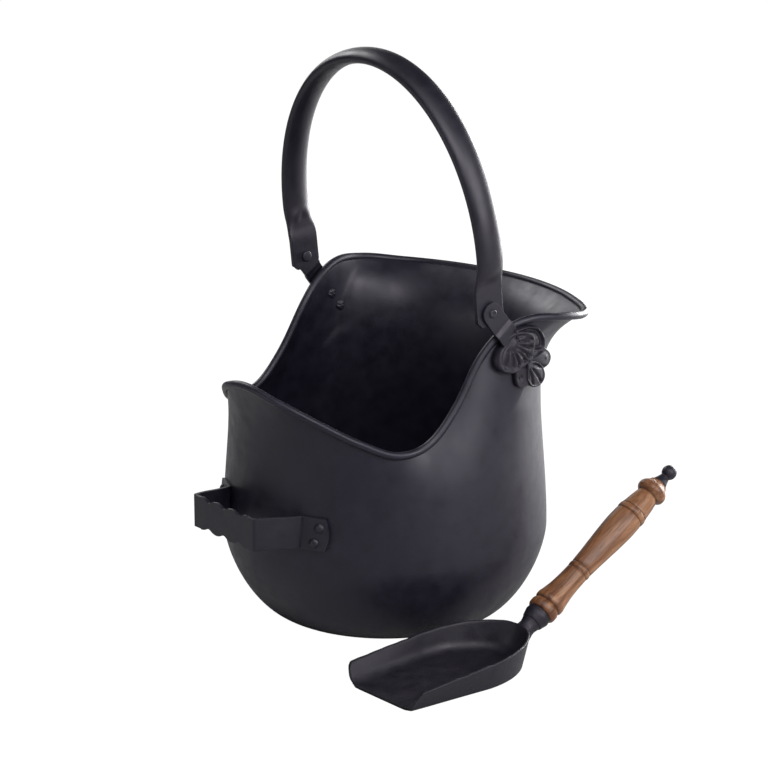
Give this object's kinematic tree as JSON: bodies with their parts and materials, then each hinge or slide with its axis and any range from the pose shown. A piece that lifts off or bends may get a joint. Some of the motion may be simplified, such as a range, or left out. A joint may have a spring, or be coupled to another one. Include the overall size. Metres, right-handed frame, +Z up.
{
  "type": "coal scuttle",
  "caption": "Black helmet-style coal scuttle with a flared pouring lip, swinging bail, riveted rear handle and a matching cast shovel with a turned wooden handle.",
  "frame": {"origin": "on the floor under the bucket's round axis, the middle of its flat bottom", "axes": "+Z up, +X towards the pouring lip, +Y to the left as seen from behind the rear handle; the shovel lies along +X on the right side"},
  "size_m": [0.3802, 0.3784, 0.5158],
  "materials": {
    "sheet_black": "satin",
    "tube_black": "satin",
    "forged_black": "satin",
    "cast_black": "satin",
    "walnut": "satin"
  },
  "bodies": {
    "bucket": {"body_shell": "sheet_black", "rim_bead": "sheet_black", "ear_left": "forged_black", "ear_right": "forged_black", "blossom_left": "cast_black", "blossom_right": "cast_black", "ear_rivets_left": "forged_black", "ear_rivets_right": "forged_black", "rear_handle": "forged_black", "handle_rivets_left": "forged_black", "handle_rivets_right": "forged_black", "bail_rivet_left": "forged_black", "bail_rivet_right": "forged_black"},
    "bail": {"bail": "tube_black"},
    "shovel": {"shovel_pan": "cast_black", "shovel_ferrule": "cast_black", "shovel_grip": "walnut", "shovel_tang": "forged_black", "shovel_washer": "cast_black", "shovel_finial": "cast_black"}
  },
  "joints": [
    {"name": "bail_swing", "type": "hinge", "parent": "bucket", "child": "bail", "pos_m": [0.01, 0, 0.3], "axis": [0, 1, 0], "range_deg": [-120, 88]},
    {"name": "shovel_lift", "type": "slide", "parent": "bucket", "child": "shovel", "axis": [0, -0.5, 0.866], "range_m": [0, 0.4]}
  ]
}
